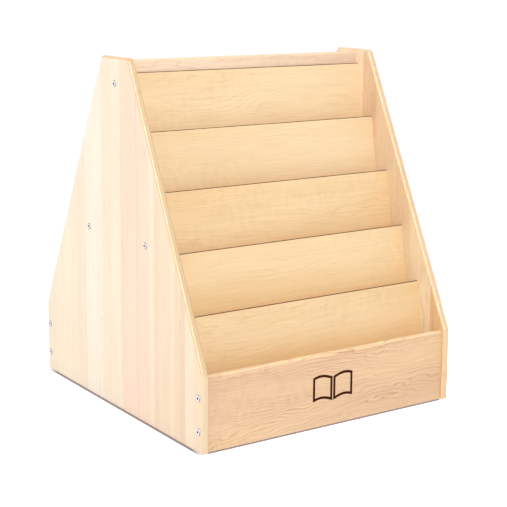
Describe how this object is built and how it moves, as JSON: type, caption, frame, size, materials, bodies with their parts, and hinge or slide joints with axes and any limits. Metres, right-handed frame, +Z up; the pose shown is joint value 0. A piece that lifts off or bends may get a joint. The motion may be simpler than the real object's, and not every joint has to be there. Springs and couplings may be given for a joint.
{
  "type": "book display stand",
  "caption": "Double-sided wooden book display stand: hexagonal end panels carry leaning tier panels with book pockets on both faces, and bolt to a top rail, middle rails and fascias.",
  "frame": {"origin": "centre of the footprint, on the floor", "axes": "+Z up; +X across the stand, towards the right end panel seen from the front; -Y towards the front"},
  "size_m": [0.7668, 0.822, 0.898],
  "materials": {
    "end_panel_maple": "edge-glued solid maple staves, clear satin lacquer",
    "rail_maple": "solid maple, slightly pink, clear satin lacquer",
    "tier_veneer": "maple-faced panel, golden, clear satin lacquer, dark core at the edges",
    "ledge_maple": "solid maple strip, clear satin lacquer",
    "bolt_steel": "bright nickel-plated steel",
    "nut_steel": "zinc-plated steel",
    "dowel_beech": "raw fluted beech"
  },
  "bodies": {
    "root": {"end_panel_left": "end_panel_maple", "end_panel_right": "end_panel_maple", "top_rail": "rail_maple", "middle_rail_front": "rail_maple", "middle_rail_back": "rail_maple", "fascia_front": "rail_maple", "fascia_back": "rail_maple", "tier_panel_front_1": "tier_veneer", "tier_panel_front_2": "tier_veneer", "tier_panel_front_3": "tier_veneer", "tier_panel_front_4": "tier_veneer", "tier_panel_front_5": "tier_veneer", "tier_panel_back_1": "tier_veneer", "tier_panel_back_2": "tier_veneer", "tier_panel_back_3": "tier_veneer", "tier_panel_back_4": "tier_veneer", "tier_panel_back_5": "tier_veneer", "pocket_ledge_front_1": "ledge_maple", "pocket_ledge_front_2": "ledge_maple", "pocket_ledge_front_3": "ledge_maple", "pocket_ledge_front_4": "ledge_maple", "pocket_ledge_front_5": "ledge_maple", "pocket_ledge_back_1": "ledge_maple", "pocket_ledge_back_2": "ledge_maple", "pocket_ledge_back_3": "ledge_maple", "pocket_ledge_back_4": "ledge_maple", "pocket_ledge_back_5": "ledge_maple", "connector_bolts_left": "bolt_steel", "connector_bolts_right": "bolt_steel", "barrel_nuts": "nut_steel", "alignment_dowels": "dowel_beech"}
  },
  "joints": []
}
